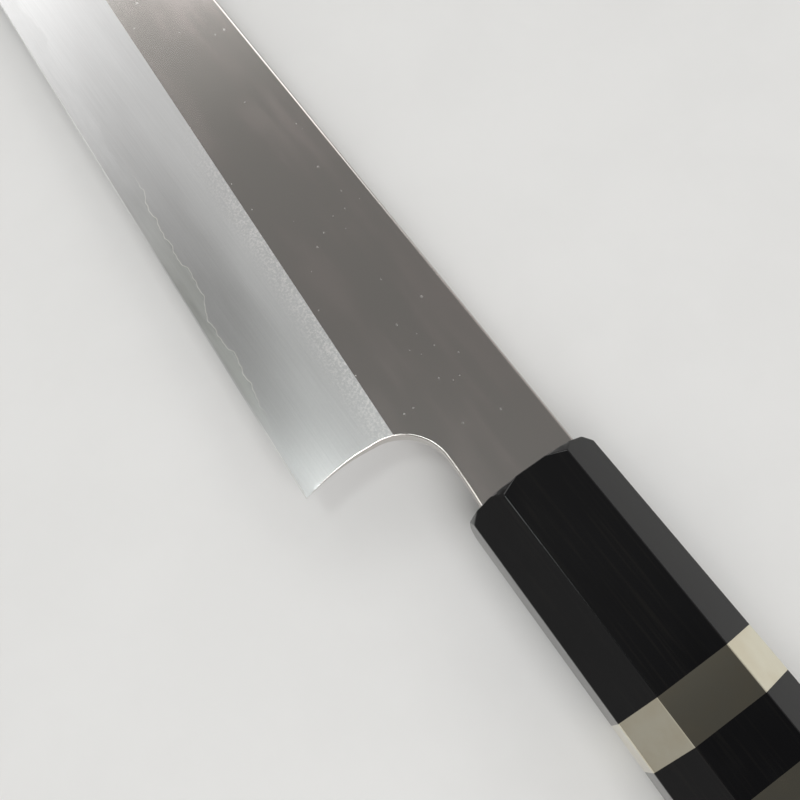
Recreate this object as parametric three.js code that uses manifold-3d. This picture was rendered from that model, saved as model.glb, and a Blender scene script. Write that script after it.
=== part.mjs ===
// Sujihiki: a long laminated slicing knife with a wide ground bevel and an octagonal stick handle.
// It is modelled lying on its right side. X runs from the ferrule's front to the tip, Y from the spine
// to the edge and Z out of the left face, with X = 0 at the ferrule's front and Y = Z = 0 on the handle's
// axis. The finished group is moved so that its origin is at the bottom centre. Millimetres.
import * as THREE from "three";
import { mergeVertices } from "three/addons/utils/BufferGeometryUtils.js";
import Module from "manifold-3d";

// Blade seen from the side
const BLADE_LENGTH = 270; // heel to tip
const HEEL_REACH = 18.4; // ferrule's front to heel
const HEEL_HEIGHT = 39.3;
const EDGE_SLOPE = 0.0377; // how fast the straight edge closes on the spine
const BELLY_LENGTH = 140; // curved stretch of the edge, before the tip
const BELLY_POWER = 3; // how late in that stretch the edge turns up
const SPINE_SLOPE = 0.004; // how fast the straight spine leaves the handle's axis
const SPINE_FALL = 8.5; // how far the spine bends down to the tip
const SPINE_FALL_LENGTH = 125;
const SPINE_FALL_POWER = 2.2; // how late in that length it bends
const TIP_HEIGHT = 0.5; // blunt end of the point
const BEVEL_HEIGHT = 17; // edge to shinogi, the ridge above the wide bevel, at the heel
const BEVEL_GROWTH = 0.011; // how much taller the bevel gets for each millimetre of length
const SPINE_STRIP = 0.9; // flat that is left between shinogi and spine near the tip

// Neck, choil and tang seen from the side
const SPINE_LIP = 1.45; // ferrule above the spine, where the neck enters it
const NECK_LIP = 2.75; // ferrule below the neck
const CHOIL_RISE = 0.6; // how much the neck's underside rises from the ferrule to the choil
const CHOIL_RADIUS = 8.6;
const CHOIL_BOW = 0.8; // how far the back of the heel bows forward
const SEAT_DEPTH = 9; // full-height neck inside the ferrule
const TANG_LENGTH = 100; // from the ferrule's front
const TANG_HEIGHT = 10;
const TANG_END_HEIGHT = 6;

// Blade in section
const SPINE_THICKNESS = 3;
const TIP_THICKNESS = 1.2;
const FLAT_LEAN = 0.009; // slope of each flat towards the shinogi
const SPINE_EASE = 0.55; // rounding of the spine's corners
const EASE_SHARE = 0.6; // most of a thin section that the rounding takes
const EDGE_BEVEL_HEIGHT = 0.25; // narrow bevel that carries the cutting edge
const EDGE_BEVEL_DEPTH = 0.07;

// Lamination: the core shows below a wavy line on the bevel
const CORE_THICKNESS = 0.8; // at the spine of the neck
const CORE_SHOWN_HEEL = 1.2;
const CORE_SHOWN_FRONT = 3.7;
const CORE_SHOWN_RAMP = 70; // length over which the line climbs from the heel
const CORE_SHOWN_LEAST = 1;
const CORE_SHOWN_SHARE = 0.3; // most of the blade's height that the core takes near the tip
const CORE_WAVES = [
  { length: 22.2, depth: 0.47, phase: 1.34 },
  { length: 13.6, depth: 0.25, phase: 0.82 },
  { length: 6.3, depth: 0.19, phase: 5.32 },
];

// Handle: an octagon that swells towards the butt
const HANDLE_LENGTH = 145;
const FRONT_HEIGHT = 22.3;
const BUTT_HEIGHT = 25.8;
const FRONT_WIDTH = 19.7;
const BUTT_WIDTH = 21.7;
const FRONT_CORNER = 5.4; // leg of the 45 degree corner facets
const BUTT_CORNER = 6.5;
const BUTT_EASE = 0.8;
const FERRULE_LENGTH = 35;
const RING_LENGTH = 7.5;
const SPACER_LENGTH = 8.6;
const RIDGE_CUT = 1.3; // how far the front end of each ridge is cut back, to a small triangle
const RIDGE_CUT_SHARE = 0.27; // of a facet's width that each cut takes at the ferrule's front

// Inside the handle
const DOWEL_WALL = 0.85; // thinnest wood at the corners of the tang's slot
const DOWEL_PAST_TANG = 8;
const SLOT_CLEARANCE = 0.9; // slot in the dowel around the tang
const MOUTH_CLEARANCE = 0.6; // mouth of the ferrule around the neck
const SEAL_RECESS = 1;
const SEAL_DEPTH = 3;
const FIT = 0.2; // glue line between pieces that fill each other
const BORE_END_GAP = 0.5;

// Fineness of the mesh
const STRAIGHT_STEP = 12;
const CURVED_STEP = 5;
const WAVE_STEP = 1.8;
const ROUND_STEPS = 40;
const EASE_STEPS = 3;
const CHOIL_STEPS = 14;
const OVERSHOOT = 1; // how far a cutting shape runs past what it cuts
const CUT_HEIGHT = 20; // larger than the blade is thick
const SAME_POINT = 1e-4; // corners nearer than this are one

const wasm = await Module();
wasm.setup();

// Closed geometry to solid and back
function solidOf(geometry) {
  const bare = geometry.clone();
  bare.deleteAttribute("normal");
  bare.deleteAttribute("uv");
  const merged = mergeVertices(bare, SAME_POINT);
  const vertProperties = new Float32Array(merged.attributes.position.array);
  const triVerts = new Uint32Array(merged.index.array);
  return new wasm.Manifold(new wasm.Mesh({ numProp: 3, vertProperties, triVerts }));
}

function geometryOf(solid) {
  const mesh = solid.getMesh();
  const geometry = new THREE.BufferGeometry();
  geometry.setAttribute("position", new THREE.BufferAttribute(mesh.vertProperties, 3));
  geometry.setIndex(new THREE.BufferAttribute(mesh.triVerts, 1));
  const faceted = geometry.toNonIndexed();
  faceted.computeVertexNormals();
  return faceted;
}

// Skin over convex sections {x, ring}, given from low to high X, each ring counter-clockwise about +X
function loft(sections) {
  const size = sections[0].ring.length;
  const positions = sections.flatMap(({ x, ring }) => ring.flatMap(([y, z]) => [x, y, z]));
  const index = [];
  for (let s = 0; s + 1 < sections.length; s++) {
    for (let i = 0; i < size; i++) {
      const a = s * size + i;
      const b = s * size + ((i + 1) % size);
      index.push(a, b, b + size, a, b + size, a + size);
    }
  }
  const last = (sections.length - 1) * size;
  for (let i = 1; i + 1 < size; i++) {
    index.push(0, i + 1, i);
    index.push(last, last + i, last + i + 1);
  }
  const geometry = new THREE.BufferGeometry();
  geometry.setAttribute("position", new THREE.Float32BufferAttribute(positions, 3));
  geometry.setIndex(index);
  return solidOf(geometry);
}

const box = (halfHeight, halfWidth, middle = 0) => [
  [middle + halfHeight, -halfWidth],
  [middle + halfHeight, halfWidth],
  [middle - halfHeight, halfWidth],
  [middle - halfHeight, -halfWidth],
];

// Round bar along X, from depth `front` to depth `back` behind the ferrule's front
function bar(radius, front, back) {
  const geometry = new THREE.CylinderGeometry(radius, radius, back - front, ROUND_STEPS);
  geometry.rotateZ(Math.PI / 2);
  geometry.translate(-(front + back) / 2, 0, 0);
  return solidOf(geometry);
}

// Side view outlines of the blade: 0 where the bend starts, 1 at the tip
const tipX = HEEL_REACH + BLADE_LENGTH;
const bend = (x, length, power) => Math.max(0, (x - tipX + length) / length) ** power;
const spineStart = SPINE_LIP - FRONT_HEIGHT / 2;
const spineFall = (x) => SPINE_FALL * bend(x, SPINE_FALL_LENGTH, SPINE_FALL_POWER);
const spineY = (x) => spineStart - SPINE_SLOPE * x + spineFall(x);
const heelY = spineY(HEEL_REACH) + HEEL_HEIGHT;
const straightEdgeY = (x) => heelY - EDGE_SLOPE * (x - HEEL_REACH);
const bellyRise = straightEdgeY(tipX) - spineY(tipX) - TIP_HEIGHT;
const edgeY = (x) => straightEdgeY(x) - bellyRise * bend(x, BELLY_LENGTH, BELLY_POWER);
const bladeHeight = (x) => edgeY(x) - spineY(x);

function shinogiY(x) {
  const bevelTop = edgeY(x) - BEVEL_HEIGHT - BEVEL_GROWTH * (x - HEEL_REACH);
  const strip = Math.min(SPINE_STRIP, bladeHeight(x) / 2);
  return Math.max(bevelTop, spineY(x) + strip);
}

// Half thickness of the blade: the flats taper to the tip and lean in, the bevels run down to the edge
const distalTaper = (SPINE_THICKNESS - TIP_THICKNESS) / 2 / tipX;
const halfSpine = (x) => SPINE_THICKNESS / 2 - distalTaper * Math.max(0, x);
const halfFlat = (x, y) => halfSpine(x) - FLAT_LEAN * (y - spineY(x));

function edgeBevel(x) {
  const height = Math.min(EDGE_BEVEL_HEIGHT, bladeHeight(x) / 4);
  return { y: edgeY(x) - height, half: (EDGE_BEVEL_DEPTH * height) / EDGE_BEVEL_HEIGHT };
}

function halfBevel(x, y) {
  const top = shinogiY(x);
  const low = edgeBevel(x);
  return THREE.MathUtils.mapLinear(y, top, low.y, halfFlat(x, top), low.half);
}

function bladeRing(x) {
  const low = edgeBevel(x);
  const ridge = shinogiY(x);
  const left = [
    [low.y, low.half],
    [ridge, halfFlat(x, ridge)],
  ];
  const ease = Math.min(SPINE_EASE, EASE_SHARE * (ridge - spineY(x)), EASE_SHARE * halfSpine(x));
  for (let i = 0; i <= EASE_STEPS; i++) {
    const turn = (Math.PI / 2) * (1 + i / EASE_STEPS);
    const y = spineY(x) + ease * (1 + Math.cos(turn));
    left.push([y, halfFlat(x, spineY(x) + ease) - ease * (1 - Math.sin(turn))]);
  }
  const right = left.map(([y, z]) => [y, -z]).reverse();
  return [[edgeY(x), 0], ...left, ...right];
}

// Places along X from `from` to `to`, no further apart than `step`
function places(from, to, step) {
  const count = Math.ceil((to - from) / step);
  return Array.from({ length: count + 1 }, (_, i) => from + ((to - from) * i) / count);
}

// Prism through the blade's thickness
function through(shape) {
  const prism = { depth: CUT_HEIGHT, bevelEnabled: false, curveSegments: CHOIL_STEPS };
  const geometry = new THREE.ExtrudeGeometry(shape, prism);
  geometry.translate(0, 0, -CUT_HEIGHT / 2);
  return solidOf(geometry);
}

// What is cut away below the tang, the neck and behind the heel
const neckBottom = FRONT_HEIGHT / 2 - NECK_LIP;
const choilTop = neckBottom - CHOIL_RISE;
const tangEndX = -TANG_LENGTH;

function choilWaste() {
  const backX = tangEndX - OVERSHOOT;
  const farY = heelY + CUT_HEIGHT;
  const roundX = HEEL_REACH + CHOIL_BOW - CHOIL_RADIUS;
  const roundY = choilTop + CHOIL_RADIUS;
  const shape = new THREE.Shape();
  shape.moveTo(backX, TANG_END_HEIGHT / 2);
  shape.lineTo(tangEndX, TANG_END_HEIGHT / 2);
  shape.lineTo(-SEAT_DEPTH, TANG_HEIGHT / 2);
  shape.lineTo(-SEAT_DEPTH, neckBottom);
  shape.lineTo(0, neckBottom);
  shape.quadraticCurveTo(roundX / 2, choilTop, roundX, choilTop);
  shape.absarc(roundX, roundY, CHOIL_RADIUS, -Math.PI / 2, 0, false);
  shape.quadraticCurveTo(HEEL_REACH + 2 * CHOIL_BOW, (roundY + heelY) / 2, HEEL_REACH, heelY);
  shape.lineTo(HEEL_REACH, farY);
  shape.lineTo(backX, farY);
  return through(shape);
}

// What is cut away above the tang
function tangWaste() {
  const backX = tangEndX - OVERSHOOT;
  const farY = spineY(0) - CUT_HEIGHT;
  const shape = new THREE.Shape();
  shape.moveTo(backX, farY);
  shape.lineTo(-SEAT_DEPTH, farY);
  shape.lineTo(-SEAT_DEPTH, -TANG_HEIGHT / 2);
  shape.lineTo(tangEndX, -TANG_END_HEIGHT / 2);
  shape.lineTo(backX, -TANG_END_HEIGHT / 2);
  return through(shape);
}

function groundBlade() {
  const bellyX = tipX - BELLY_LENGTH;
  const straight = places(0, bellyX, STRAIGHT_STEP);
  const curved = places(bellyX, tipX, CURVED_STEP).slice(1);
  const xs = [tangEndX, ...straight, ...curved];
  const ground = loft(xs.map((x) => ({ x, ring: bladeRing(x) })));
  return ground.subtract(choilWaste()).subtract(tangWaste());
}

// Height of the core steel that the grinding laid bare above the edge
function coreShown(x) {
  const along = x - HEEL_REACH;
  const climb = THREE.MathUtils.smoothstep(along, 0, CORE_SHOWN_RAMP);
  const level = THREE.MathUtils.lerp(CORE_SHOWN_HEEL, CORE_SHOWN_FRONT, climb);
  const wave = CORE_WAVES.reduce(
    (sum, { length, depth, phase }) => sum + depth * Math.sin((2 * Math.PI * along) / length + phase),
    0,
  );
  return Math.min(Math.max(level + wave, CORE_SHOWN_LEAST), CORE_SHOWN_SHARE * bladeHeight(x));
}

// The core between its two weld faces, which meet each bevel on the wavy line
function coreSlab() {
  const xs = [tangEndX - OVERSHOOT, 0, ...places(HEEL_REACH, tipX, WAVE_STEP), tipX + OVERSHOOT];
  const sections = xs.map((x) => {
    const at = THREE.MathUtils.clamp(x, HEEL_REACH, tipX);
    const shownY = edgeY(at) - coreShown(at);
    const halfTop = (CORE_THICKNESS / SPINE_THICKNESS) * halfSpine(at);
    const halfShown = halfBevel(at, shownY);
    const half = (y) => THREE.MathUtils.mapLinear(y, spineY(at), shownY, halfTop, halfShown);
    const top = spineY(at) - OVERSHOOT;
    const low = edgeY(at) + OVERSHOOT;
    const ring = [
      [low, -half(low)],
      [low, half(low)],
      [top, half(top)],
      [top, -half(top)],
    ];
    return { x, ring };
  });
  return loft(sections);
}

// Half space on one side of the blade's middle plane
function sideOf(sign) {
  const length = TANG_LENGTH + tipX + 2 * OVERSHOOT;
  const geometry = new THREE.BoxGeometry(length, 4 * HEEL_HEIGHT, CUT_HEIGHT);
  geometry.translate((tipX - TANG_LENGTH) / 2, 0, (sign * CUT_HEIGHT) / 2);
  return solidOf(geometry);
}

// Octagon of the handle at a depth behind the ferrule's front, drawn in by `inset`
function handleRing(depth, inset = 0) {
  const along = depth / HANDLE_LENGTH;
  const h = THREE.MathUtils.lerp(FRONT_HEIGHT, BUTT_HEIGHT, along) / 2 - inset;
  const w = THREE.MathUtils.lerp(FRONT_WIDTH, BUTT_WIDTH, along) / 2 - inset;
  const corner = THREE.MathUtils.lerp(FRONT_CORNER, BUTT_CORNER, along) - (2 - Math.SQRT2) * inset;
  const upper = [
    [h, w - corner],
    [h - corner, w],
    [corner - h, w],
    [-h, w - corner],
  ];
  return [...upper, ...upper.map(([y, z]) => [-y, -z])];
}

function handlePiece(front, back) {
  const depths = [back, front];
  return loft(depths.map((depth) => ({ x: -depth, ring: handleRing(depth) })));
}

// Where the pieces of the handle meet, as depths behind the ferrule's front
const frontRingAt = FERRULE_LENGTH;
const spacerAt = frontRingAt + RING_LENGTH;
const rearRingAt = spacerAt + SPACER_LENGTH;
const bodyAt = rearRingAt + RING_LENGTH;
const dowelFront = SEAT_DEPTH + BORE_END_GAP;
const dowelBack = TANG_LENGTH + DOWEL_PAST_TANG;
const slotReach = Math.hypot(TANG_HEIGHT / 2 + SLOT_CLEARANCE, SPINE_THICKNESS / 2 + SLOT_CLEARANCE);
const dowelRadius = slotReach + DOWEL_WALL;
const boreRadius = dowelRadius + FIT;

// The front end of each ridge is cut back along a plane that runs onto both neighbouring facets
function cutRidges(solid) {
  const front = handleRing(0).map(([y, z]) => new THREE.Vector3(0, y, z));
  const behind = handleRing(RIDGE_CUT).map(([y, z]) => new THREE.Vector3(-RIDGE_CUT, y, z));
  const count = front.length;
  const planes = front.map((ridge, i) => {
    const last = ridge.clone().lerp(front[(i + count - 1) % count], RIDGE_CUT_SHARE);
    const next = ridge.clone().lerp(front[(i + 1) % count], RIDGE_CUT_SHARE);
    return new THREE.Plane().setFromCoplanarPoints(behind[i], last, next);
  });
  const inside = new THREE.Vector3(-FERRULE_LENGTH, 0, 0);
  return planes.reduce((left, plane) => {
    const kept = plane.distanceToPoint(inside) > 0 ? plane : plane.clone().negate();
    return left.trimByPlane(kept.normal.toArray(), -kept.constant);
  }, solid);
}

// Neck of the blade with room around it, as a straight block between two depths
const neckHeight = neckBottom - spineStart;
const neckMiddle = (neckBottom + spineStart) / 2;
function neckBlock(clearance, front, back) {
  const ring = box(neckHeight / 2 + clearance, SPINE_THICKNESS / 2 + clearance, neckMiddle);
  return loft([back, front].map((depth) => ({ x: -depth, ring })));
}

function ferrule() {
  const mouth = neckBlock(MOUTH_CLEARANCE, -OVERSHOOT, dowelFront + OVERSHOOT);
  const bore = bar(boreRadius, SEAT_DEPTH, FERRULE_LENGTH + OVERSHOOT);
  return cutRidges(handlePiece(0, FERRULE_LENGTH)).subtract(mouth).subtract(bore);
}

function mouthSeal() {
  const outer = neckBlock(MOUTH_CLEARANCE, SEAL_RECESS, SEAL_RECESS + SEAL_DEPTH);
  const inner = neckBlock(FIT, 0, SEAL_RECESS + SEAL_DEPTH + OVERSHOOT);
  return outer.subtract(inner);
}

function bored(front, back) {
  return handlePiece(front, back).subtract(bar(boreRadius, front - OVERSHOOT, back + OVERSHOOT));
}

function handleBody() {
  const sections = [
    { x: -HANDLE_LENGTH, ring: handleRing(HANDLE_LENGTH, BUTT_EASE) },
    { x: BUTT_EASE - HANDLE_LENGTH, ring: handleRing(HANDLE_LENGTH - BUTT_EASE) },
    { x: -bodyAt, ring: handleRing(bodyAt) },
  ];
  return loft(sections).subtract(bar(boreRadius, bodyAt - OVERSHOOT, dowelBack + BORE_END_GAP));
}

// Tang with room around it, from the dowel's front to past the tang's end
function tangBlock(clearance, front) {
  const halfWidth = SPINE_THICKNESS / 2 + clearance;
  const halfAt = (depth) =>
    THREE.MathUtils.mapLinear(depth, SEAT_DEPTH, TANG_LENGTH, TANG_HEIGHT, TANG_END_HEIGHT) / 2 + clearance;
  const depths = [TANG_LENGTH + clearance, front];
  return loft(depths.map((depth) => ({ x: -depth, ring: box(halfAt(depth), halfWidth) })));
}

function dowel() {
  const slot = tangBlock(SLOT_CLEARANCE, dowelFront - OVERSHOOT);
  return bar(dowelRadius, dowelFront, dowelBack).subtract(slot);
}

function tangAdhesive() {
  const tangRoom = tangBlock(FIT, dowelFront - OVERSHOOT);
  return tangBlock(SLOT_CLEARANCE - FIT, dowelFront).subtract(tangRoom);
}

// Finishes
function finish(color, roughness, metalness) {
  return new THREE.MeshStandardMaterial({ color, roughness, metalness });
}

const coreSteel = finish(0xaeb2ad, 0.3, 1);
const softSteel = finish(0xb9b8b5, 0.25, 1);
const horn = finish(0x0d0d0e, 0.18, 0);
const ebony = finish(0x14100e, 0.3, 0);
const ringMetal = finish(0xd2c8b4, 0.08, 1);
const dowelWood = finish(0xcdb489, 0.7, 0);
const resin = finish(0x1a1917, 0.4, 0);

const knife = new THREE.Group();
function addPiece(name, solid, material) {
  const mesh = new THREE.Mesh(geometryOf(solid), material);
  mesh.name = name;
  knife.add(mesh);
}

const blade = groundBlade();
const core = coreSlab();
const cladding = blade.subtract(core);
addPiece("core_steel", blade.intersect(core), coreSteel);
addPiece("left_cladding", cladding.intersect(sideOf(1)), softSteel);
addPiece("right_cladding", cladding.intersect(sideOf(-1)), softSteel);
addPiece("ferrule", ferrule(), horn);
addPiece("mouth_seal", mouthSeal(), resin);
addPiece("front_ring", bored(frontRingAt, spacerAt), ringMetal);
addPiece("ring_spacer", bored(spacerAt, rearRingAt), horn);
addPiece("rear_ring", bored(rearRingAt, bodyAt), ringMetal);
addPiece("handle_body", handleBody(), ebony);
addPiece("handle_dowel", dowel(), dowelWood);
addPiece("tang_adhesive", tangAdhesive(), resin);

// Origin at the bottom centre of the lying knife
const bounds = new THREE.Box3().setFromObject(knife);
const middle = bounds.getCenter(new THREE.Vector3());
knife.position.set(-middle.x, -middle.y, -bounds.min.z);

export default knife;
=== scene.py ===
# %% [markdown]
# # A sujihiki, lying on its side
# A sujihiki is a long, slim slicing knife. Its blade is a sandwich of three steels, and its stick
# handle is an octagon of black horn, metal rings and ebony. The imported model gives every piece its
# place, so this lesson adds only what the eye sees: rounded edges, polish, haze, grain, a floor and
# light. The shapes could be modelled by hand, but here they are computed from a few sizes, so that
# neighbouring pieces fit exactly.

# %% Load the frame
import math
from itertools import pairwise

import bpy
import numpy as np
from mathutils import Matrix, Vector
from mathutils.geometry import delaunay_2d_cdt


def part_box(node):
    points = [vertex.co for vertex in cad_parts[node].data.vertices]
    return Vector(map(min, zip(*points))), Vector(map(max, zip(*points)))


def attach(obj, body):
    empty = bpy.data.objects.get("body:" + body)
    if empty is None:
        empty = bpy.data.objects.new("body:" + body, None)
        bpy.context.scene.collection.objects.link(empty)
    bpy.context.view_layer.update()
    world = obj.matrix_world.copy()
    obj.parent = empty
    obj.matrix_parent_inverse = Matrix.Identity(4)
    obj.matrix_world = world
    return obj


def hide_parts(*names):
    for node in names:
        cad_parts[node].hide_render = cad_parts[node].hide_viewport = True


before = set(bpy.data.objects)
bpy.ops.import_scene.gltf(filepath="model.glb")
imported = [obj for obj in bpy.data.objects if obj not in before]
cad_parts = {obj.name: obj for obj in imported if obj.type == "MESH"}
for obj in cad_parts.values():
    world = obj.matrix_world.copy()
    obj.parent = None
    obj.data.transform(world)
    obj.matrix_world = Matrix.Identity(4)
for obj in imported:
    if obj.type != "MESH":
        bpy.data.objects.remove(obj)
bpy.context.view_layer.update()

print("nodes in the frame:", ", ".join(sorted(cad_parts)))

# %% [markdown]
# ## One origin for all pieces
# A knife maker measures from where the blade leaves the handle. So do we: sizes are in millimetres,
# from the ferrule's front on the handle's axis, with X to the tip, Y to the edge and Z out of the left
# face. Each object could be moved into place afterwards. It is simpler to turn every point into
# Blender's metres as it is made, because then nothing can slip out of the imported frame.

# %% Origin
MM = 0.001
_, ferrule_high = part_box("ferrule")
body_low, body_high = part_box("handle_body")
axis_middle = (body_low + body_high) / 2
origin = Vector((ferrule_high.x, axis_middle.y, axis_middle.z))


def in_metres(point):
    return origin + Vector(point) * MM


print("our origin lies at", [round(c, 4) for c in origin], "in the frame")

# %% [markdown]
# ## The camera
# A camera can be placed by hand until the picture looks right, but a solved one is better: these values
# come from the outlines of blade, ferrule and ring in the photograph. Place, aim and the picture's
# upward direction fix it without any Euler angles.

# %% Camera
CAMERA_PLACE = Vector((-28.35, 26.55, 143.1))
CAMERA_AIM = Vector((22.7, 8.35, 1.45))
CAMERA_UP = Vector((0.7525, -0.5621, 0.3434))
CAMERA_LENS = 42.62  # for a 36 mm sensor
CAMERA_NEAREST = 10 * MM

back = (CAMERA_PLACE - CAMERA_AIM).normalized()
right = CAMERA_UP.cross(back).normalized()
facing = Matrix((right, back.cross(right), back)).transposed().to_4x4()
camera_data = bpy.data.cameras.new("camera")
camera_data.lens = CAMERA_LENS
camera_data.clip_start = CAMERA_NEAREST
camera = bpy.data.objects.new("camera", camera_data)
camera.matrix_world = Matrix.Translation(in_metres(CAMERA_PLACE)) @ facing
bpy.context.scene.collection.objects.link(camera)
bpy.context.scene.camera = camera
print("camera", round((CAMERA_PLACE - CAMERA_AIM).length), "mm from what it looks at")

# %% [markdown]
# ## The blade's side view
# Seen from the side, the blade is a few curves: a spine that bends down to the tip, an edge with a
# belly, the shinogi ridge above the wide bevel, and the wavy line where the hard core comes out from
# under its cladding. They could be drawn as Bezier curves. Formulas of X are used instead, because all
# later steps can ask them for the height at any place.

# %% Side view
TIP_X = (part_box("core_steel")[1].x - origin.x) / MM
HEEL_X, HEEL_HEIGHT = 18.4, 39.3
EDGE_SLOPE, BELLY_LENGTH, BELLY_POWER = 0.0377, 140, 3
SPINE_START, SPINE_SLOPE = -9.7, 0.004
SPINE_FALL, SPINE_FALL_LENGTH, SPINE_FALL_POWER = 8.5, 125, 2.2
TIP_HEIGHT = 0.5
BEVEL_HEIGHT, BEVEL_GROWTH = 17, 0.011
FLAT_LEAST, FLAT_LEAST_SHARE = 0.9, 0.5  # what the bevel leaves of the flat near the tip


def bend(x, length, power):
    return np.maximum(0, (x - TIP_X + length) / length) ** power


def spine_y(x):
    return SPINE_START - SPINE_SLOPE * x + SPINE_FALL * bend(x, SPINE_FALL_LENGTH, SPINE_FALL_POWER)


HEEL_Y = spine_y(HEEL_X) + HEEL_HEIGHT
BELLY_RISE = HEEL_Y - EDGE_SLOPE * (TIP_X - HEEL_X) - spine_y(TIP_X) - TIP_HEIGHT


def edge_y(x):
    return HEEL_Y - EDGE_SLOPE * (x - HEEL_X) - BELLY_RISE * bend(x, BELLY_LENGTH, BELLY_POWER)


def blade_height(x):
    return edge_y(x) - spine_y(x)


def shinogi_y(x):
    bevel_top = edge_y(x) - BEVEL_HEIGHT - BEVEL_GROWTH * (x - HEEL_X)
    return np.maximum(bevel_top, spine_y(x) + np.minimum(FLAT_LEAST, FLAT_LEAST_SHARE * blade_height(x)))


print(f"edge {TIP_X - HEEL_X:.0f} mm long, blade {HEEL_HEIGHT} mm high at the heel")

# %% [markdown]
# ## The lamination line
# Forge welding and grinding leave a wavy line above the edge. A texture could paint it, but the two
# steels are pieces of their own, so the line has to be a shape. It is a sum of waves: long ones for its
# slow wander and fine ones for its small steps. It starts low at the heel and climbs in a smooth S, and
# near the tip it keeps to a share of the blade's height.

# %% Lamination line
CORE_SHOWN_HEEL, CORE_SHOWN_FRONT, CORE_SHOWN_RAMP = 1.2, 3.7, 70
CORE_SHOWN_LEAST, CORE_SHOWN_SHARE = 1, 0.3
CORE_WAVES = [  # length, depth and phase
    (22.2, 0.47, 1.34),
    (13.6, 0.25, 0.82),
    (6.3, 0.19, 5.32),
    (3.1, 0.1, 0.6),
    (1.7, 0.065, 2.2),
]


def weld_y(x):
    along = x - HEEL_X
    climb = np.clip(along / CORE_SHOWN_RAMP, 0, 1)
    climb = climb * climb * (3 - 2 * climb)
    shown = CORE_SHOWN_HEEL + (CORE_SHOWN_FRONT - CORE_SHOWN_HEEL) * climb
    for length, depth, phase in CORE_WAVES:
        shown = shown + depth * np.sin(2 * np.pi * along / length + phase)
    shown = np.maximum(shown, CORE_SHOWN_LEAST)
    return edge_y(x) - np.minimum(shown, CORE_SHOWN_SHARE * blade_height(x))


print(f"core steel shows {edge_y(HEEL_X) - weld_y(HEEL_X):.1f} mm at the heel")

# %% [markdown]
# ## Thickness
# A blade can be seen as a height field over its side view: for each point there is one half thickness.
# The flat thins towards the tip, the bevel runs down to the edge with a slight hollow from the grinding
# wheel, and the last quarter of a millimetre is a steeper bevel that carries the edge. Cross sections
# joined along the blade would be another way, but they can't follow the choil and the wavy line as a
# height field does.

# %% Thickness
SPINE_HALF, TIP_HALF, FLAT_LEAN = 1.5, 0.6, 0.009
EDGE_BEVEL_HEIGHT, EDGE_BEVEL_HALF, EDGE_BEVEL_SHARE = 0.25, 0.07, 0.25
BEVEL_HOLLOW = 0.04
HOLLOW_NONE, HOLLOW_FULL = 0.7, 1.0  # half thicknesses at the ridge: the thin front part is ground flat
CORE_SHARE = 0.8 / 3  # of the thickness at the spine


def half_spine(x):
    return SPINE_HALF - (SPINE_HALF - TIP_HALF) / TIP_X * np.maximum(0, x)


def edge_bevel_height(x):
    return np.minimum(EDGE_BEVEL_HEIGHT, EDGE_BEVEL_SHARE * blade_height(x))


def half_thickness(x, y):
    flat = half_spine(x) - FLAT_LEAN * (y - spine_y(x))
    ridge = shinogi_y(x)
    ridge_half = half_spine(x) - FLAT_LEAN * (ridge - spine_y(x))
    low = edge_bevel_height(x)
    low_half = EDGE_BEVEL_HALF * low / EDGE_BEVEL_HEIGHT
    down = (y - ridge) / (edge_y(x) - low - ridge)
    hollow = BEVEL_HOLLOW * np.clip((ridge_half - HOLLOW_NONE) / (HOLLOW_FULL - HOLLOW_NONE), 0, 1)
    bevel = ridge_half + (low_half - ridge_half) * down - 4 * hollow * down * (1 - down)
    edge = low_half * (edge_y(x) - y) / low
    return np.where(y < ridge, flat, np.where(down < 1, bevel, np.maximum(0, edge)))


def half_core(x, y):
    at = np.clip(x, HEEL_X, TIP_X)
    top = CORE_SHARE * half_spine(at)
    line = half_thickness(at, weld_y(at))
    return top + (line - top) * (y - spine_y(at)) / (weld_y(at) - spine_y(at))


print(f"spine {2 * half_spine(0):.1f} mm thick at the ferrule, {2 * half_spine(TIP_X):.1f} mm at the tip")

# %% [markdown]
# ## Outlines to triangulate
# Now the curves become polylines. The choil, the cut-out behind the heel, is a straight neck, a quarter
# circle and a slightly bowed back of the heel. A boolean could cut it out of a finished blade, but it
# would leave slivers at the thin edge. Where two lines meet, both get the same point, so that the
# triangulation joins them.

# %% Outlines
NECK_BOTTOM, CHOIL_TOP, CHOIL_RADIUS, CHOIL_BOW = 8.4, 7.8, 8.6, 0.8
SEAT_X = -9  # where the neck ends in the ferrule and the tang begins
NECK_POINTS, RISE_POINTS, ARC_POINTS, HEEL_POINTS = 5, 24, 60, 90
ROUND_X, ROUND_Y = HEEL_X + CHOIL_BOW - CHOIL_RADIUS, CHOIL_TOP + CHOIL_RADIUS


def curve(start, control, end, count):
    t = np.linspace(0, 1, count)[:, None]
    start, control, end = (np.array(p, float) for p in (start, control, end))
    return (1 - t) ** 2 * start + 2 * t * (1 - t) * control + t**2 * end


def edge_bevel_y(x):
    return edge_y(x) - edge_bevel_height(x)


def cut(line, height):
    """Puts a point where a polyline crosses a curve; returns the polyline and that point's place in it."""
    gap = line[:, 1] - height(line[:, 0])
    k = int(np.argmax(gap > 0))
    share = gap[k - 1] / (gap[k - 1] - gap[k])
    point = line[k - 1] + share * (line[k] - line[k - 1])
    return np.insert(line, k, point, 0), k


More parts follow.
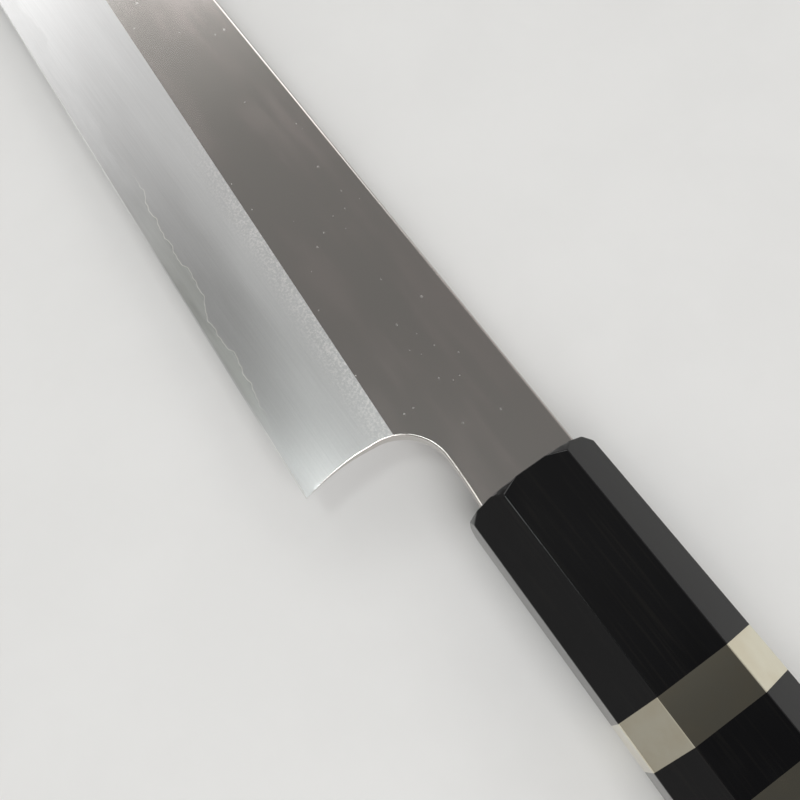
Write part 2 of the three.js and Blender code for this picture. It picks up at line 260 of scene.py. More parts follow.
neck = curve((SEAT_X, NECK_BOTTOM), (SEAT_X / 2, NECK_BOTTOM), (0, NECK_BOTTOM), NECK_POINTS)
rise = curve((0, NECK_BOTTOM), (ROUND_X / 2, CHOIL_TOP), (ROUND_X, CHOIL_TOP), RISE_POINTS)
turn = np.linspace(-np.pi / 2, 0, ARC_POINTS)
arc = np.column_stack([ROUND_X + CHOIL_RADIUS * np.cos(turn), ROUND_Y + CHOIL_RADIUS * np.sin(turn)])
bow = (HEEL_X + 2 * CHOIL_BOW, (ROUND_Y + HEEL_Y) / 2)
heel_back = curve((HEEL_X + CHOIL_BOW, ROUND_Y), bow, (HEEL_X, HEEL_Y), HEEL_POINTS)
choil = np.vstack([neck, rise[1:], arc[1:], heel_back[1:]])
choil, ridge_at = cut(choil, shinogi_y)
choil, weld_at = cut(choil, weld_y)
choil, edge_bevel_at = cut(choil, edge_bevel_y)
print("choil outline of", len(choil), "points; the shinogi meets it at", choil[ridge_at].round(1))

# %% [markdown]
# ## Rounded rims
# A maker eases the spine and the choil so that they don't bite the hand, and those soft edges catch the
# brightest lights. A bevel modifier would have to follow thousands of small edges. Instead, lines are
# laid inside the rim at the distances of a quarter round, and the height field drops there as the round
# does.

# %% Rims
SPINE_EASE, CHOIL_EASE, EASE_SHARE = 0.55, 0.3, 0.6
LONG_STEP, BELLY_POINTS = 4.0, 90


def over(xs, height):
    return np.column_stack([xs, height(xs)])


def spine_ease(line):
    x = line[:, 0]
    return np.minimum(SPINE_EASE, EASE_SHARE * np.minimum(shinogi_y(x) - spine_y(x), half_spine(x)))


def choil_ease(line):
    x, y = line.T
    return np.minimum(CHOIL_EASE, EASE_SHARE * np.maximum(0, half_thickness(x, y) - half_core(x, y)))


straight_xs = np.arange(SEAT_X, TIP_X - BELLY_LENGTH, LONG_STEP)
curved_xs = np.linspace(TIP_X - BELLY_LENGTH, TIP_X, BELLY_POINTS)
spine = over(np.concatenate([straight_xs, curved_xs]), spine_y)[::-1]
choil_rim = choil[: weld_at + 1]
rims = [(spine, spine_ease(spine)), (choil_rim, choil_ease(choil_rim))]
print("rims eased by up to", [round(float(ease.max()), 2) for _, ease in rims], "mm")

# %% [markdown]
# ## Lines on the side view
# The blade's net needs an edge wherever its surface bends: at the shinogi, the weld, the edge bevel and
# the rims. An even grid could follow them only with millions of points. Extra lines along the bevel let
# its hollow show, and one on each side of the weld makes the two steels shade alike there. Every line
# is kept under its kind, because the next step asks for it.

# %% Lines
TANG_END_X, TANG_HALF, TANG_END_HALF = -100, 5, 3
BLADE_FIRST_X, WAVE_FIRST_X, WAVE_STEP = 20.0, 19.0, 0.4  # just in front of the heel
BEVEL_ROWS = (0.2, 0.4, 0.6)
WELD_MARGIN = 0.35
SLIM_BLADE = 10  # where the blade is lower than this, near the tip, the extra lines would crowd
blade_xs = np.concatenate([np.arange(BLADE_FIRST_X, TIP_X - BELLY_LENGTH, LONG_STEP), curved_xs])
wave_xs = np.append(np.arange(WAVE_FIRST_X, TIP_X - WAVE_STEP / 2, WAVE_STEP), TIP_X)
tang = np.array([
    (SEAT_X, NECK_BOTTOM), (SEAT_X, TANG_HALF), (TANG_END_X, TANG_END_HALF),
    (TANG_END_X, -TANG_END_HALF), (SEAT_X, -TANG_HALF), (SEAT_X, spine_y(SEAT_X)),
])
tip = np.array([(TIP_X, height(TIP_X)) for height in (spine_y, shinogi_y, weld_y, edge_bevel_y, edge_y)])
lines = {
    "outline": [tang, spine, choil, tip],
    "shinogi": [np.vstack([choil[ridge_at], over(blade_xs, shinogi_y)])],
    "weld": [np.vstack([choil[weld_at], over(wave_xs, weld_y)])],
    "edge_bevel": [np.vstack([choil[edge_bevel_at], over(blade_xs, edge_bevel_y)])],
    "edge": [np.vstack([choil[-1], over(blade_xs, edge_y)])],
    "ease": [],
    "hollow": [],
}
high_xs = blade_xs[blade_height(blade_xs) > SLIM_BLADE]
for share in BEVEL_ROWS:
    row_y = (1 - share) * shinogi_y(high_xs) + share * edge_bevel_y(high_xs)
    lines["hollow"].append(np.column_stack([high_xs, row_y]))
high_wave_xs = wave_xs[blade_height(wave_xs) > SLIM_BLADE]
for margin in (-WELD_MARGIN, WELD_MARGIN):
    lines["hollow"].append(np.column_stack([high_wave_xs, weld_y(high_wave_xs) + margin]))
print(sum(len(group) for group in lines.values()), "lines on the side view")

# %% [markdown]
# ## Lines of the rounded rims
# A quarter round is drawn by lines that lie close at the rim and further apart inwards, as its steps
# look from the side. One more line just past the round keeps the shading of the flat flat. Custom
# normals could do that as well, but a line is simpler and stays with the mesh wherever it goes.

# %% Lines inside the rims
EASE_STEPS, HOLD = 7, 1.2
LEAST_EASE = 0.04  # a smaller round can't be seen


def inward(line):
    """Unit normals of a polyline whose steel lies on its right-hand side."""
    along = np.gradient(line, axis=0)
    along /= np.linalg.norm(along, axis=1)[:, None]
    return np.column_stack([along[:, 1], -along[:, 0]])


ease_angles = math.pi / 2 * np.arange(1, EASE_STEPS + 1) / EASE_STEPS
for rim, ease in rims:
    kept = ease > LEAST_EASE
    kept[[0, -1]] = False
    for share in (*(1 - np.cos(ease_angles)), HOLD):
        lines["ease"].append((rim + inward(rim) * (share * ease)[:, None])[kept])
print(len(lines["ease"]), "lines inside the rims")

# %% [markdown]
# ## From lines to triangles
# A grid could be laid over the outline and trimmed, but it would miss the lines inside. Blender's own
# triangulation keeps them: it fills a set of crossing lines in one step and says afterwards which new
# edge came from which line. So the lines go in with a kind, and the edges come out with it.

# %% Triangulate the side view
INSIDE, SAME_POINT = 1, 1e-4  # fill what the outline encloses; join points that lie nearer than this
points, edges, edge_kind = [], [], []
for kind, group in lines.items():
    for line in group:
        first = len(points)
        points += [Vector(p) for p in line]
        edges += list(pairwise(range(first, len(points))))
        edge_kind += [kind] * (len(line) - 1)
corners, joined, triangles, _, from_edges, _ = delaunay_2d_cdt(points, edges, [], INSIDE, SAME_POINT)
corners = np.array(corners)
kinds = {kind: set() for kind in lines}
for pair, sources in zip(joined, from_edges):
    for source in sources:
        kinds[edge_kind[source]].add(frozenset(pair))
print(len(triangles), "triangles for one side of the blade")

# %% [markdown]
# ## Which triangle is which steel
# The weld line splits the side view in two. The formula could be asked on which side each triangle
# lies, but the net follows the line only in steps, so close to it the answer may be wrong. Instead, a
# flood fill starts at the spine, walks from triangle to triangle and never steps over the weld: what it
# reaches is cladding, the rest is bare core.

# %% Flood fill
FAR = 1e3  # keeps the start off the tang


def sides_of(triangle):
    return zip(triangle, [*triangle[1:], triangle[0]])


neighbours = {}
for number, triangle in enumerate(triangles):
    for pair in sides_of(triangle):
        neighbours.setdefault(frozenset(pair), []).append(number)
middles = np.array([corners[t].mean(0) for t in triangles])
start = int(np.argmin(middles[:, 1] - spine_y(middles[:, 0]) + FAR * (middles[:, 0] < 0)))
clad, front = {start}, [start]
while front:
    for pair in map(frozenset, sides_of(triangles[front.pop()])):
        if pair not in kinds["weld"]:
            fresh = [n for n in neighbours[pair] if n not in clad]
            clad.update(fresh)
            front += fresh
on_weld = {corner for pair in kinds["weld"] for corner in pair}
clad -= {n for n in clad if on_weld.issuperset(triangles[n])}  # without thickness, so no cladding
print(len(clad), "triangles are cladding,", len(triangles) - len(clad), "are bare core")

# %% [markdown]
# ## How thick it is where
# Every corner of the net now gets two heights: the outside of the blade, and the face where core and
# cladding are welded. Near a rim the outside drops along a quarter circle. Sculpting could do this by
# eye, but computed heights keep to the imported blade.

# %% Heights of the side view's points
def round_drop(spots):
    """How far the rounded rims lie below the sharp height field."""
    drop = np.zeros(len(spots))
    rows = np.arange(len(spots))
    for rim, ease in rims:
        starts = rim[:-1]
        steps = rim[1:] - starts
        offsets = spots[:, None] - starts
        shares = np.clip(np.einsum("nsk,sk->ns", offsets, steps) / (steps**2).sum(1), 0, 1)
        gaps = np.linalg.norm(offsets - shares[..., None] * steps, axis=2)
        nearest = gaps.argmin(1)
        share = shares[rows, nearest]
        radius = ease[nearest] * (1 - share) + ease[nearest + 1] * share
        inside = np.maximum(0, radius - gaps[rows, nearest])
        drop = np.maximum(drop, radius - np.sqrt(np.maximum(0, radius**2 - inside**2)))
    return drop


corner_x, corner_y = corners.T
sharp_half = half_thickness(corner_x, corner_y)
drops = round_drop(corners)
outer_half = sharp_half - drops
core_half = np.minimum(half_core(corner_x, corner_y), sharp_half)
for corner in on_weld:
    outer_half[corner] = core_half[corner] = sharp_half[corner]
print("thickest cladding:", round(float((outer_half - core_half).max()), 2), "mm")

# %% [markdown]
# ## One way to make a piece
# A knife piece, whether of the blade or of the handle, ends as points, faces and a finish number for
# each face. One function turns them into an object, shades it smooth except at corners, gives each face
# the material slot of its finish number and hides the imported piece it stands for. Operators could do
# this too, but they act on whatever is selected, and these calls act on the piece itself.

# %% Mesh maker
SHARP_ANGLE = math.radians(25)


def make_mesh(name, node, vertices, faces, finishes):
    mesh = bpy.data.meshes.new(name)
    mesh.from_pydata([in_metres(v) for v in vertices], [], faces, shade_flat=False)
    mesh.set_sharp_from_angle(angle=SHARP_ANGLE)
    mesh.polygons.foreach_set("material_index", finishes)
    piece = bpy.data.objects.new(name, mesh)
    bpy.context.scene.collection.objects.link(piece)
    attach(piece, "root")
    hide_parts(node)
    print(name, "has", len(faces), "faces")
    return piece


print(f"corners sharper than {math.degrees(SHARP_ANGLE):.0f} degrees stay crisp")

# %% [markdown]
# ## Finishes on the blade
# The blade carries five finishes: polished flats, eased rims, the hazy bevel, the bare core and the
# honed edge. Masks could be painted for them, but every triangle knows what it lies on and takes its
# finish number from that. The shinogi and the edge bevel turn the surface by only a few degrees; marked
# sharp, they stay crisp lines in the shading. Two values per point, the distances from the shinogi and
# from the weld, are kept for the materials.

# %% Finishes and sharp lines
FLAT, RIM, BEVEL, BARE, HONED = range(5)  # numbers of the finishes
sharp_lines = kinds["shinogi"] | kinds["edge_bevel"] | kinds["weld"]
distances = {
    "from_ridge": corner_y - shinogi_y(np.maximum(corner_x, HEEL_X)),
    "from_weld": corner_y - weld_y(np.clip(corner_x, HEEL_X, TIP_X)),
}


def finish_of(number):
    x, y = middles[number]
    if number not in clad:
        return HONED if y > edge_bevel_y(x) else BARE
    if drops[list(triangles[number])].min() > 0:
        return RIM
    return BEVEL if y > shinogi_y(x) else FLAT


def mark_blade(mesh, source):
    """Marks the sharp lines and keeps the distances; source gives each point's corner of the net."""
    marks = mesh.attributes["sharp_edge"].data
    for edge in mesh.edges:
        if frozenset(source[v] for v in edge.vertices) in sharp_lines:
            marks[edge.index].value = True
    for label, values in distances.items():
        layer = mesh.attributes.new(label, "FLOAT", "POINT")
        layer.data.foreach_set("value", values[source])


print(len(sharp_lines), "edges of the net stay sharp")

# %% [markdown]
# ## A skin from the height field
# Each steel layer is a closed skin: an upper sheet, a lower sheet, and a wall where the sheets don't
# share their points. A solidify modifier would give it one thickness everywhere, and these layers taper
# to nothing. The same function makes all three, so they fit on each other without a gap.

# %% Steel layers
def make_layer(name, node, numbers, upper, lower):
    """Closes the chosen triangles between two sheets; where the sheets meet, they share their points."""
    vertices, source, above, below = [], [], {}, {}
    for corner in sorted({corner for n in numbers for corner in triangles[n]}):
        above[corner] = below[corner] = len(vertices)
        vertices.append((*corners[corner], upper[corner]))
        source.append(corner)
        if upper[corner] - lower[corner] > SAME_POINT:
            below[corner] = len(vertices)
            vertices.append((*corners[corner], lower[corner]))
            source.append(corner)
    faces, finishes, sides = [], [], {}
    for n in numbers:
        triangle = triangles[n]
        faces.append([above[c] for c in triangle])
        faces.append([below[c] for c in reversed(triangle)])
        finishes += [finish_of(n)] * 2
        for pair in sides_of(triangle):
            sides.setdefault(frozenset(pair), []).append(pair)
    for (a, b), *others in sides.values():
        wall = list(dict.fromkeys([above[b], above[a], below[a], below[b]]))
        if not others and len(wall) > 2:
            faces.append(wall)
            finishes.append(RIM)
    piece = make_mesh(name, node, vertices, faces, finishes)
    mark_blade(piece.data, source)
    return piece


every, covered = range(len(triangles)), sorted(clad)
blade_core = make_layer("blade_core", "core_steel", every, core_half, -core_half)
blade_left = make_layer("blade_left", "left_cladding", covered, outer_half, core_half)
blade_right = make_layer("blade_right", "right_cladding", covered, -core_half, -outer_half)

# %% [markdown]
# ## The handle's octagon
# The handle is planed to an octagon that grows towards the butt, and sanding leaves its ridges softly
# rounded. A cylinder with eight sides and a bevel would do for the body, but not for the ferrule's
# front. So a skin of rings describes all pieces: each ring is a loop of points, and neighbouring loops
# are joined by quads. The points on a facet are given as shares of its width; the first and the last
# lie close to the ridges, so that the facet is shaded flat between them.

# %% Octagon
HANDLE_LENGTH = 145
FRONT_SIZE = np.array((22.3 / 2, 19.7 / 2, 5.4))  # half height, half width and corner
BUTT_SIZE = np.array((25.8 / 2, 21.7 / 2, 6.5))
FACETS = 8
FACET_TURN = 2 * math.pi / FACETS
RIDGE_ROUND, RIDGE_STEPS = 0.42, 6
SIDE_SHARES = (0.02, 0.14, 0.263, 0.5, 0.737, 0.86, 0.98)
END_SHARES = (0.02, 0.12, 0.2, 0.225, 0.263, 0.5, 0.737, 0.775, 0.8, 0.88, 0.98)
END_FACETS = (0, 4)  # on the edge side and the spine side, where the mouth's corners need more points


def ridges(depth):
    """The octagon's corners at a depth behind the ferrule's front, as rows of (y, z)."""
    half_height, half_width, corner = FRONT_SIZE + (BUTT_SIZE - FRONT_SIZE) * depth / HANDLE_LENGTH
    low_y, low_z = half_height - corner, half_width - corner
    half_turn = [(half_height, -low_z), (half_height, low_z), (low_y, half_width), (-low_y, half_width)]
    return np.array(half_turn + [(-y, -z) for y, z in half_turn])


def octagon(depth):
    """The outline with softened ridges."""
    ring = ridges(depth)
    along = np.roll(ring, -1, 0) - ring
    along /= np.linalg.norm(along, axis=1)[:, None]
    back_off = RIDGE_ROUND * math.tan(FACET_TURN / 2)
    outline = []
    for k in range(FACETS):
        start = ring[k] + along[k] * back_off
        end = ring[(k + 1) % FACETS] - along[k] * back_off
        shares = END_SHARES if k in END_FACETS else SIDE_SHARES
        outline += [start + (end - start) * share for share in shares]
        arm = RIDGE_ROUND * np.array((along[k][1], -along[k][0]))
        for angle in np.linspace(0, FACET_TURN, RIDGE_STEPS + 1):
            cos, sin = math.cos(angle), math.sin(angle)
            turned = np.array((arm[0] * cos - arm[1] * sin, arm[0] * sin + arm[1] * cos))
            outline.append(end - arm + turned)
    return np.array(outline)


print("each ring has", len(octagon(0)), "points")

# %% [markdown]
# ## Joining rings to pieces
# A few helpers place a flat outline at its depth, soften the corner between two faces and join the
# rings to a closed mesh. Blender can bridge loops too, but it chooses by itself which points to pair. A
# tube has no end caps: its last ring is joined to its first. A piece with a closed end has a pole
# there, a point in the middle to which the ring's points run.

# %% Rings
BORE_RADIUS = 7.419
SOFT_STEPS = 5


def at_depth(outline, depth):
    return np.column_stack([-np.broadcast_to(depth, len(outline)), outline])


def ring_at(depth):
    return at_depth(octagon(depth), depth)


def bore_at(depth):
    outline = octagon(0)
    return at_depth(BORE_RADIUS * outline / np.linalg.norm(outline, axis=1)[:, None], depth)


def soft_corner(before, corner, after, steps=SOFT_STEPS):
    shares = np.linspace(0, 1, steps + 1)
    return [(1 - t) ** 2 * before + 2 * t * (1 - t) * corner + t**2 * after for t in shares]


def make_turned(name, node, rings, poles=()):
    count = len(rings[0])
    nexts = [(k + 1) % count for k in range(count)]
    vertices = [p for ring in rings for p in ring] + list(poles)
    loops = list(pairwise(range(0, len(rings) * count, count)))
    last = (len(rings) - 1) * count
    if not poles:
        loops.append((last, 0))
    faces = [(a + k, b + k, b + n, a + n) for a, b in loops for k, n in enumerate(nexts)]
    if poles:
        first_pole, last_pole = len(vertices) - 2, len(vertices) - 1
        faces += [(first_pole, k, n) for k, n in enumerate(nexts)]
        faces += [(last_pole, last + n, last + k) for k, n in enumerate(nexts)]
    return make_mesh(name, node, vertices, faces, [0] * len(faces))


print(f"the bore is {2 * BORE_RADIUS:.1f} mm wide")

# %% [markdown]
# ## Two rings and a spacer
# Behind the ferrule come a bright ring, a spacer of black horn and a second ring. All three are tubes
# around the dowel. A small bevel on each is the usual way to show a joint, but a handle like this is
# sanded flush after it is glued up, so the joints stay sharp lines where one material ends and the next
# begins.

# %% Rings and spacer
FERRULE_END, FRONT_RING_END, SPACER_END, REAR_RING_END = 35, 42.5, 51.1, 58.6


def tube(front, rear):
    return [bore_at(front), ring_at(front), ring_at(rear), bore_at(rear)]


ring_front = make_turned("ring_front", "front_ring", tube(FERRULE_END, FRONT_RING_END))
spacer = make_turned("spacer", "ring_spacer", tube(FRONT_RING_END, SPACER_END))
ring_rear = make_turned("ring_rear", "rear_ring", tube(SPACER_END, REAR_RING_END))

# %% [markdown]
# ## The ferrule's front
# The ferrule's front is flat, and the end of each ridge is cut back to a small triangle so that no
# sharp corner meets the finger. A boolean would leave its own net there. Instead, each cut is a plane
# that starts on the front and leans back, and the deepest plane says how far a point of the front is
# set back.

# %% Ridge cuts
RIDGE_CUT, CUT_SHARE = 1.3, 0.27
SETTLING = 6  # rounds until the rim follows the cuts
front_ridges = ridges(0)
cut_start = front_ridges + CUT_SHARE * (np.roll(front_ridges, 1, 0) - front_ridges)
cut_end = front_ridges + CUT_SHARE * (np.roll(front_ridges, -1, 0) - front_ridges)
cut_side = cut_end - cut_start
cut_out = np.column_stack([cut_side[:, 1], -cut_side[:, 0]])
cut_reach = ((ridges(RIDGE_CUT) - cut_start) * cut_out).sum(1)


def cut_depth(outline):
    """How far the deepest ridge cut lies behind the front; negative where the front is flat."""
    share = ((outline[:, None] - cut_start) * cut_out).sum(2) / cut_reach
    return RIDGE_CUT * share.max(1)


def setback(outline):
    return np.maximum(0, cut_depth(outline))


def octagon_at(depths):
    """The octagon's outline with a depth of its own for every point."""
    return np.array([octagon(depth)[k] for k, depth in enumerate(depths)])


rim_outline = octagon(0)
for _ in range(SETTLING):
    rim_depth = setback(rim_outline)
    rim_outline = octagon_at(rim_depth)
print(f"the ridges are cut back by {rim_depth.max():.2f} mm")

# %% [markdown]
# ## The mouth
# A rectangular mouth takes the blade's neck. It could be cut with a boolean as well, at the same cost.
# Rays from its middle to the rim give every point of the octagon a partner on the mouth, so the mouth,
# the cuts and the octagon share one net.

# %% Mouth
MOUTH_MIDDLE, MOUTH_HALF, MOUTH_ROUND = np.array((-0.65, 0)), np.array((9.65, 2.1)), 0.3
ROUND_STEPS = 20  # steps inwards that find the round in a corner
TINY = 1e-9  # stands in for nothing in a division


def mouth(outline):
    """Where rays to the outline cross the mouth, a rectangle with small rounds in its corners."""
    ray = outline - MOUTH_MIDDLE
    ray /= np.linalg.norm(ray, axis=1)[:, None]
    reach = np.min(MOUTH_HALF / np.maximum(np.abs(ray), TINY), axis=1)
    for _ in range(ROUND_STEPS):
        beyond = np.maximum(np.abs(ray * reach[:, None]) - MOUTH_HALF + MOUTH_ROUND, 0)
        reach -= np.maximum(np.linalg.norm(beyond, axis=1) - MOUTH_ROUND, 0)
    return MOUTH_MIDDLE + ray * reach[:, None]


lip = mouth(rim_outline)
face_width = np.linalg.norm(rim_outline - lip, axis=1)
face_rays = (rim_outline - lip) / face_width[:, None]
print(f"from mouth to rim: {face_width.min():.1f} to {face_width.max():.1f} mm")

# %% [markdown]
# ## The ferrule's rings
# The rings run out of the mouth, over its lip, across the front, over the crease of the ridge cuts and
# the rim, along the outside and back through the bore. Soft corners at lip, crease and rim catch the
# light as polished horn does. A bevel modifier would give all three one width, and here each has its
# own. One more ring past the rim keeps the facets' shading flat.

# %% Ferrule
MOUTH_EASE, FRONT_EASE, CREASE_EASE = 0.2, 0.2, 0.12
CREASE_STEPS, FACE_RINGS = 3, 4
MOUTH_END, BORE_START = 9.1, 9.5
EDGE_HOLD = 2  # times the soft edge's width
LEAST_CUT = 1e-6  # stands in where the rim isn't cut


def on_face(outline):
    return at_depth(outline, setback(outline))


def beside(depths):
    return at_depth(octagon_at(depths), depths)


at_lip, at_rim = cut_depth(lip), cut_depth(rim_outline)
to_crease = np.where(at_rim > 0, at_lip / (at_lip - np.maximum(at_rim, LEAST_CUT)), 1) * face_width
to_crease = np.minimum(to_crease, face_width - FRONT_EASE - 2 * CREASE_EASE)
crease, near_crease, past_crease = (
    lip + (to_crease + step)[:, None] * face_rays for step in (0, -CREASE_EASE, CREASE_EASE)
)
lip_start = lip + MOUTH_EASE * face_rays
rim_start = rim_outline - FRONT_EASE * face_rays
ferrule_rings = [
    at_depth(lip, MOUTH_END),
    *soft_corner(at_depth(lip, setback(lip) + MOUTH_EASE), on_face(lip), on_face(lip_start)),
    *[on_face(lip_start + (near_crease - lip_start) * k / FACE_RINGS) for k in range(1, FACE_RINGS)],
    *soft_corner(on_face(near_crease), on_face(crease), on_face(past_crease), CREASE_STEPS),
    *soft_corner(on_face(rim_start), on_face(rim_outline), beside(rim_depth + FRONT_EASE)),
    beside(rim_depth + EDGE_HOLD * FRONT_EASE),
    ring_at(FERRULE_END),
    bore_at(FERRULE_END),
    bore_at(BORE_START),
]
horn_ferrule = make_turned("horn_ferrule", "ferrule", ferrule_rings)

# %% [markdown]
# ## The ebony body
# Behind the rings the handle is one block of ebony with a blind hole for the dowel. Its butt is flat
# with a soft edge, so that it doesn't press into the palm. The butt's rings are scaled from its
# outline, because an even inset would fold at the ridges.

# %% Body
BORE_END, BUTT_EASE, BUTT_STEPS = 108.5, 0.8, 8
BUTT_SHARES = (0.97, 0.5)  # two more rings keep the end's shading flat
butt_ring = octagon(HANDLE_LENGTH) * (1 - BUTT_EASE / BUTT_SIZE[:2])
butt_edge = at_depth(butt_ring, HANDLE_LENGTH)
body_rings = [
    bore_at(BORE_END),
    bore_at(REAR_RING_END),
    ring_at(REAR_RING_END),
    ring_at(HANDLE_LENGTH - EDGE_HOLD * BUTT_EASE),
    *soft_corner(ring_at(HANDLE_LENGTH - BUTT_EASE), ring_at(HANDLE_LENGTH), butt_edge, BUTT_STEPS),
    *[at_depth(butt_ring * share, HANDLE_LENGTH) for share in BUTT_SHARES],
]
body_poles = [(-BORE_END, 0, 0), (-HANDLE_LENGTH, 0, 0)]
ebony_body = make_turned("ebony_body", "handle_body", body_rings, body_poles)

# %% [markdown]
# ## Building blocks for finishes
# A finish is a small graph of nodes. It could be put together in the shader editor, but written down it
# can be read and made again. One helper starts a finish, one adds a node and links its inputs, and one
# gives places on the object in millimetres, stretched where a pattern runs along the knife. A pattern
# is written as its size along X, Y and Z, its detail and its roughness.

# %% Node helpers
def new_finish(name):
    finish = bpy.data.materials.new(name)
    finish.use_nodes = True
    finish.node_tree.nodes.clear()
    return finish, finish.node_tree


def add(tree, kind, inputs, out=0, **settings):
    node = tree.nodes.new("ShaderNode" + kind)
    for key, value in settings.items():
        setattr(node, key, value)
    for key, value in inputs.items():
        if isinstance(value, bpy.types.NodeSocket):
            tree.links.new(value, node.inputs[key])
        else:
            node.inputs[key].default_value = value
    return node.outputs[out]


def place(tree, stretch=(1, 1, 1)):
    """Places in millimetres, each axis divided by its stretch."""
    spot = add(tree, "TexCoord", {}, "Object")
    return add(tree, "VectorMath", {0: spot, 1: [1 / MM / s for s in stretch]}, operation="MULTIPLY")


def noise(tree, stretch, detail, roughness):
    spot = place(tree, stretch)
    return add(tree, "TexNoise", {"Vector": spot, "Scale": 1.0, "Detail": detail, "Roughness": roughness})


print("node helpers ready; the frame brought", len(bpy.data.materials), "plain materials")

# %% [markdown]
# ## Sums on patterns
# One noise alone is too even for worked steel or wood. These helpers change a pattern's range, add and
# multiply patterns, blend two colours and turn a pattern into fine relief. Node groups could hold the
# same steps. Functions are shorter, and the finishes below then read like recipes.

# %% Sums on patterns
MIX_SHARE, MIX_FIRST, MIX_SECOND, MIX_RESULT = 0, 6, 7, 2  # a Mix node's sockets for colours


def spread(tree, value, low, high, to_low=0.0, to_high=1.0):
    """Eases a value's range from low to high into another one."""
    inputs = {"Value": value, "From Min": low, "From Max": high, "To Min": to_low, "To Max": to_high}
    return add(tree, "MapRange", inputs, interpolation_type="SMOOTHSTEP")


def maths(tree, operation, first, second):
    return add(tree, "Math", {0: first, 1: second}, operation=operation)


def times(tree, first, second):
    return maths(tree, "MULTIPLY", first, second)


def plus(tree, first, second):
    return maths(tree, "ADD", first, second)


def two_patterns(tree, first, second, share):
    """The weighted mean of two patterns; share is the first one's weight."""
    return plus(tree, times(tree, first, share), times(tree, second, 1 - share))


def blend(tree, share, first, second):
    inputs = {MIX_SHARE: share, MIX_FIRST: first, MIX_SECOND: second}
    return add(tree, "Mix", inputs, MIX_RESULT, data_type="RGBA")


def bump(tree, height, depth):
    return add(tree, "Bump", {"Height": height, "Distance": depth * MM})


def surface(tree, inputs):
    shader = add(tree, "BsdfPrincipled", inputs)
    output = tree.nodes.new("ShaderNodeOutputMaterial")
    tree.links.new(shader, output.inputs["Surface"])


sums = (spread, maths, times, plus, two_patterns, blend, bump, surface)
print("helpers for patterns:", ", ".join(helper.__name__ for helper in sums))

# %% [markdown]
# ## Specks of dust
# Even a wiped blade carries a few specks. A mosaic of cells gives each speck its own place: a cell's
# colour decides whether it holds one and how large that is, and a little noise makes its outline
# uneven. Scattered objects would do as well, but they would be hundreds of pieces that nobody needs.

# %% Dust
DUST_CELL = (1.7, 1.3, 1.3)
SPECK_RADIUS = (0.02, 0.24)  # shares of a cell: where a speck begins to fade, and where it is gone
SPECK_LEAST, SPECK_STRENGTH = 0.2, 0.34
SPECK_WOBBLE, WOBBLE_SCALE = (0.3, 0.3, 0), 5.0


def dust(tree, dusty):
    """Specks in the dusty share of the cells."""
    spot = place(tree, DUST_CELL)
    wobble = add(tree, "TexNoise", {"Vector": spot, "Scale": WOBBLE_SCALE}, "Color")
    spot = add(tree, "VectorMath", {0: wobble, 1: SPECK_WOBBLE, 2: spot}, operation="MULTIPLY_ADD")
    mosaic = {"Vector": spot, "Scale": 1.0}
    gap = add(tree, "TexVoronoi", mosaic, "Distance", voronoi_dimensions="2D")
    cell = add(tree, "TexVoronoi", mosaic, "Color", voronoi_dimensions="2D")
    picked = maths(tree, "GREATER_THAN", add(tree, "SeparateColor", {0: cell}, "Red"), 1 - dusty)
    size = plus(tree, add(tree, "SeparateColor", {0: cell}, "Green"), SPECK_LEAST)
    speck = spread(tree, maths(tree, "DIVIDE", gap, size), *SPECK_RADIUS, SPECK_STRENGTH, 0.0)
    return times(tree, speck, picked)


print("dust cells of", DUST_CELL[:2], "mm")

# %% [markdown]
# ## Polished steel
# The flats are polished almost to a mirror, but a used mirror is never clean: wiping leaves soft smears
# and the stone leaves hairlines along the blade. A painted mask could hold them, but noise needs no
# picture and no unwrapped surface. Smears change the roughness and the tint, hairlines tilt the surface
# a little, and the specks are small matte spots. The rims are a little duller than the flats, and free
# of dust.

# %% Polished flats and rims
STEEL = (0.635, 0.61, 0.583, 1)
WARM_SMEAR = (0.645, 0.598, 0.574, 1)
SPECK, SPECK_ROUGH = (0.78, 0.77, 0.75, 1), 0.5
FLAT_CLOUDS = ((26, 9, 9), 3.0, 0.55)
FLAT_WIPES = ((40, 2.2, 2.2), 3.0, 0.6)
CLOUD_SHARE, SMEAR_RANGE = 0.7, (0.4, 0.68)
FLAT_HAIRS = ((9, 0.06, 0.06), 2.0, 0.6)
FLAT_GLOSS, FLAT_HAIR_DEPTH, FLAT_DUSTY = (0.14, 0.18), 0.0006, 0.034
RIM_GLOSS, RIM_HAIR_DEPTH, RIM_DUSTY = (0.18, 0.23), 0.0003, 0.0


def polished_steel(name, gloss, hair_depth, dusty):
    finish, tree = new_finish(name)
    wiped = two_patterns(tree, noise(tree, *FLAT_CLOUDS), noise(tree, *FLAT_WIPES), CLOUD_SHARE)
    smears = spread(tree, wiped, *SMEAR_RANGE)
    specks = dust(tree, dusty)
    colour = blend(tree, smears, STEEL, WARM_SMEAR)
    surface(tree, {
        "Base Color": blend(tree, specks, colour, SPECK),
        "Metallic": 1.0,
        "Roughness": plus(tree, spread(tree, smears, 0.0, 1.0, *gloss), times(tree, specks, SPECK_ROUGH)),
        "Normal": bump(tree, noise(tree, *FLAT_HAIRS), hair_depth),
    })
    return finish


polished_flat = polished_steel("polished_flat", FLAT_GLOSS, FLAT_HAIR_DEPTH, FLAT_DUSTY)
polished_rim = polished_steel("polished_rim", RIM_GLOSS, RIM_HAIR_DEPTH, RIM_DUSTY)
print("polished steel:", len(polished_flat.node_tree.nodes), "nodes each for flats and rims")

# %% [markdown]
# ## Places on the blade
# A real blade's finish changes from place to place: it is rubbed near the ridge. Near the heel the core
# is also painted darker and greener, a painted reflection of the surroundings. Such places could be
# painted on by hand. Here they are worked out from the distance to the heel and from the kept distances
# to shinogi and weld, so that they follow the shape.

# %% Places on the blade
heel_in_frame = origin.x / MM + HEEL_X


